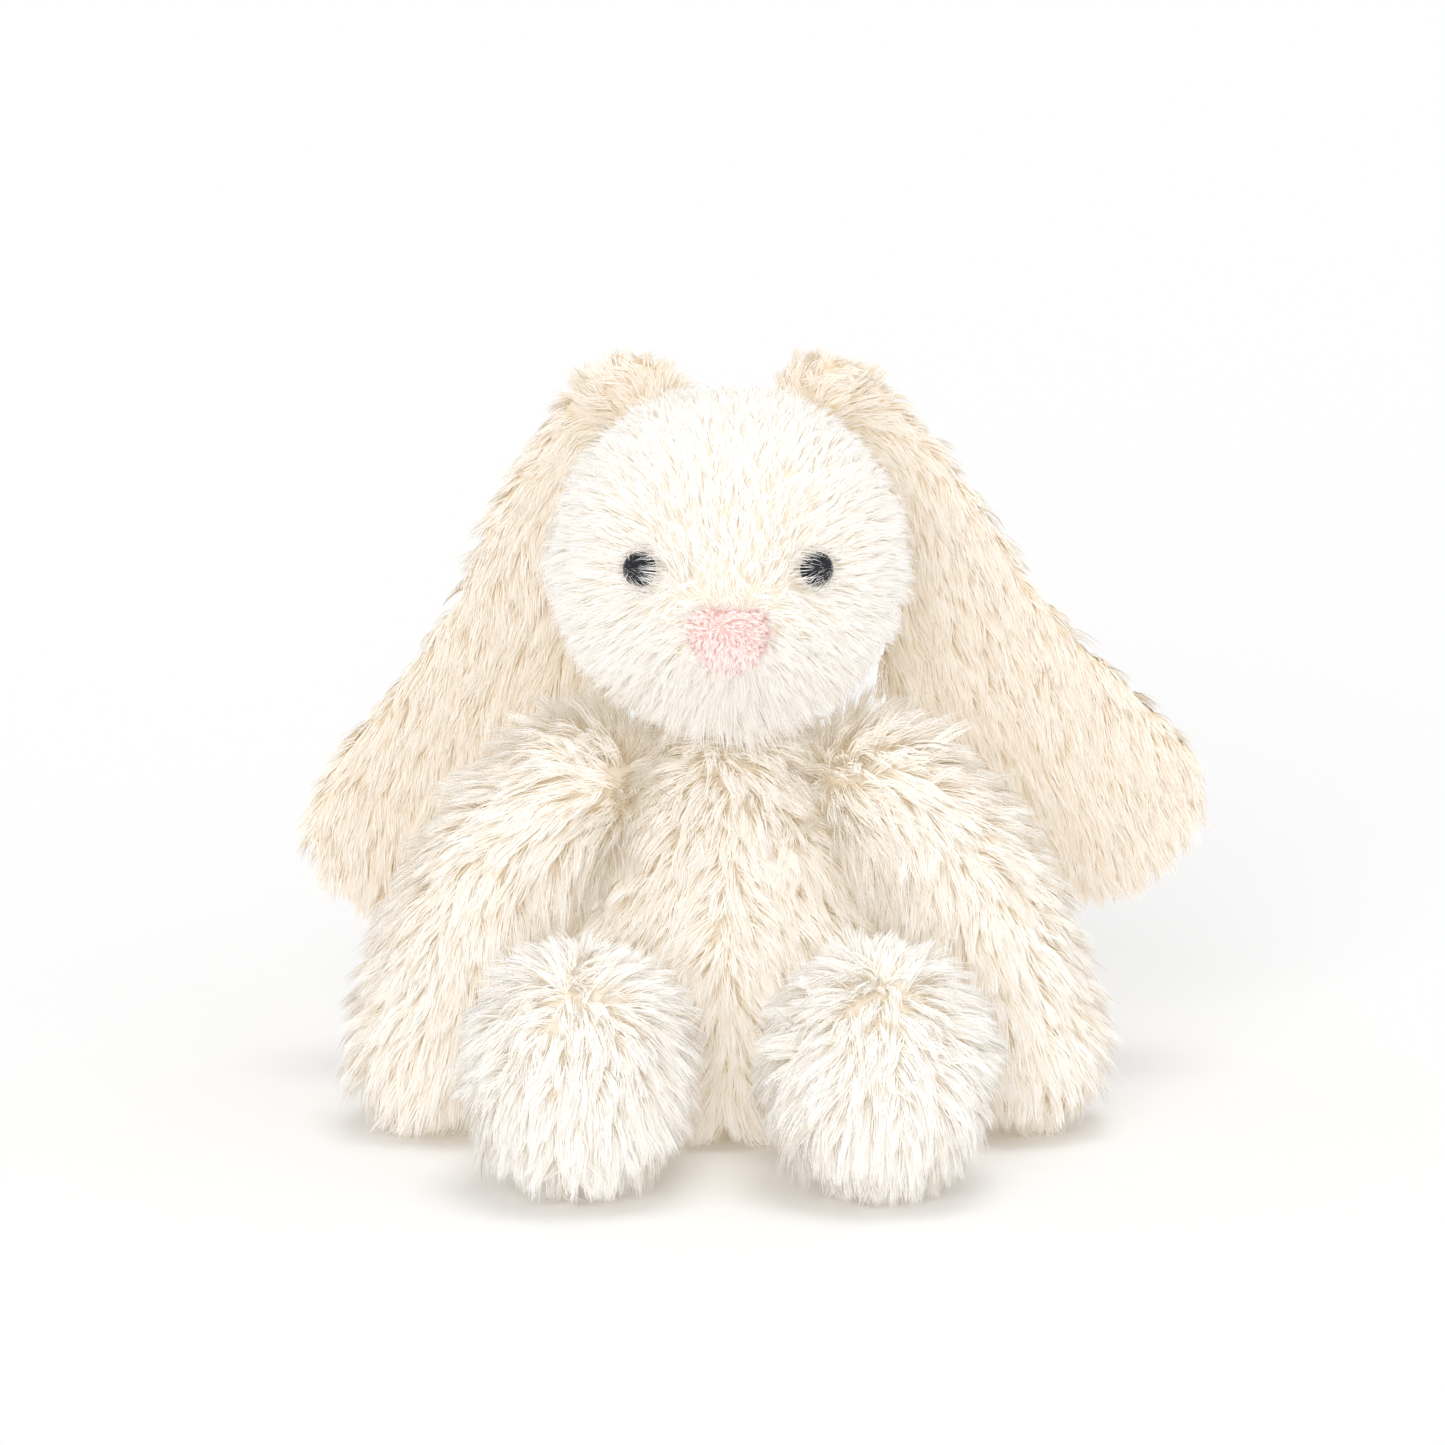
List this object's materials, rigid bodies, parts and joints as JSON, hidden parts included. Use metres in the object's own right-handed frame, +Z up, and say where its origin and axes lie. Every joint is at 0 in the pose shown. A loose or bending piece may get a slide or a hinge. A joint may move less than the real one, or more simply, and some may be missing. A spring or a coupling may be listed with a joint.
{
  "type": "stuffed bunny rabbit",
  "caption": "Sitting plush rabbit in long cream fur, with drooping ears that lift, arms that raise, legs that flex and a head that tilts.",
  "frame": {"origin": "on the surface that the toy sits on, under the middle of its box", "axes": "+Z up, the face towards -Y, the rabbit's own left towards +X"},
  "size_m": [0.2012, 0.1542, 0.18],
  "materials": {
    "cream_fur": "long soft fur pile, matt",
    "pink_velvet": "short velvet pile, matt",
    "black_bead": "polished",
    "white_plastic": "moulded, satin",
    "fibre_fill": "loose polyester fibre",
    "pouch_cloth": "plain woven cloth",
    "pellet_plastic": "smooth pellets"
  },
  "bodies": {
    "torso": {"torso_front_left": "cream_fur", "torso_front_right": "cream_fur", "torso_back_left": "cream_fur", "torso_back_right": "cream_fur", "torso_stuffing": "fibre_fill", "pellet_pouch": "pouch_cloth", "pellets": "pellet_plastic", "tail_cover": "cream_fur", "tail_stuffing": "fibre_fill"},
    "head": {"head_gusset": "cream_fur", "head_side_left": "cream_fur", "head_side_right": "cream_fur", "head_stuffing": "fibre_fill", "nose_patch": "pink_velvet", "eye_left": "black_bead", "eye_right": "black_bead", "eye_washer_left": "white_plastic", "eye_washer_right": "white_plastic"},
    "ear_left": {"ear_front_left": "cream_fur", "ear_back_left": "cream_fur"},
    "ear_right": {"ear_front_right": "cream_fur", "ear_back_right": "cream_fur"},
    "arm_left": {"arm_inner_left": "cream_fur", "arm_outer_left": "cream_fur", "arm_stuffing_left": "fibre_fill"},
    "arm_right": {"arm_inner_right": "cream_fur", "arm_outer_right": "cream_fur", "arm_stuffing_right": "fibre_fill"},
    "leg_left": {"leg_inner_left": "cream_fur", "leg_outer_left": "cream_fur", "leg_stuffing_left": "fibre_fill"},
    "leg_right": {"leg_inner_right": "cream_fur", "leg_outer_right": "cream_fur", "leg_stuffing_right": "fibre_fill"}
  },
  "joints": [
    {"name": "head_tilt", "type": "hinge", "parent": "torso", "child": "head", "pos_m": [-0.00682, 0.01946, 0.098], "axis": [0, 1, 0], "range_deg": [-12, 12], "stiffness_Nm_per_rad": 0.04},
    {"name": "ear_left_lift", "type": "hinge", "parent": "head", "child": "ear_left", "pos_m": [0.01718, 0.04246, 0.165], "axis": [0, -1, 0], "range_deg": [0, 80]},
    {"name": "ear_right_lift", "type": "hinge", "parent": "head", "child": "ear_right", "pos_m": [-0.03082, 0.04246, 0.165], "axis": [0, 1, 0], "range_deg": [0, 80]},
    {"name": "arm_left_raise", "type": "hinge", "parent": "torso", "child": "arm_left", "pos_m": [0.02718, 0.01146, 0.082], "axis": [0, -1, 0], "range_deg": [0, 65]},
    {"name": "arm_right_raise", "type": "hinge", "parent": "torso", "child": "arm_right", "pos_m": [-0.04082, 0.01146, 0.082], "axis": [0, 1, 0], "range_deg": [0, 65]},
    {"name": "leg_left_lift", "type": "hinge", "parent": "torso", "child": "leg_left", "pos_m": [0.01818, -0.00354, 0.0215], "axis": [-1, 0, 0], "range_deg": [-30, 25], "stiffness_Nm_per_rad": 0.06},
    {"name": "leg_right_lift", "type": "hinge", "parent": "torso", "child": "leg_right", "pos_m": [-0.03182, -0.00354, 0.0215], "axis": [-1, 0, 0], "range_deg": [-30, 25], "stiffness_Nm_per_rad": 0.06}
  ]
}
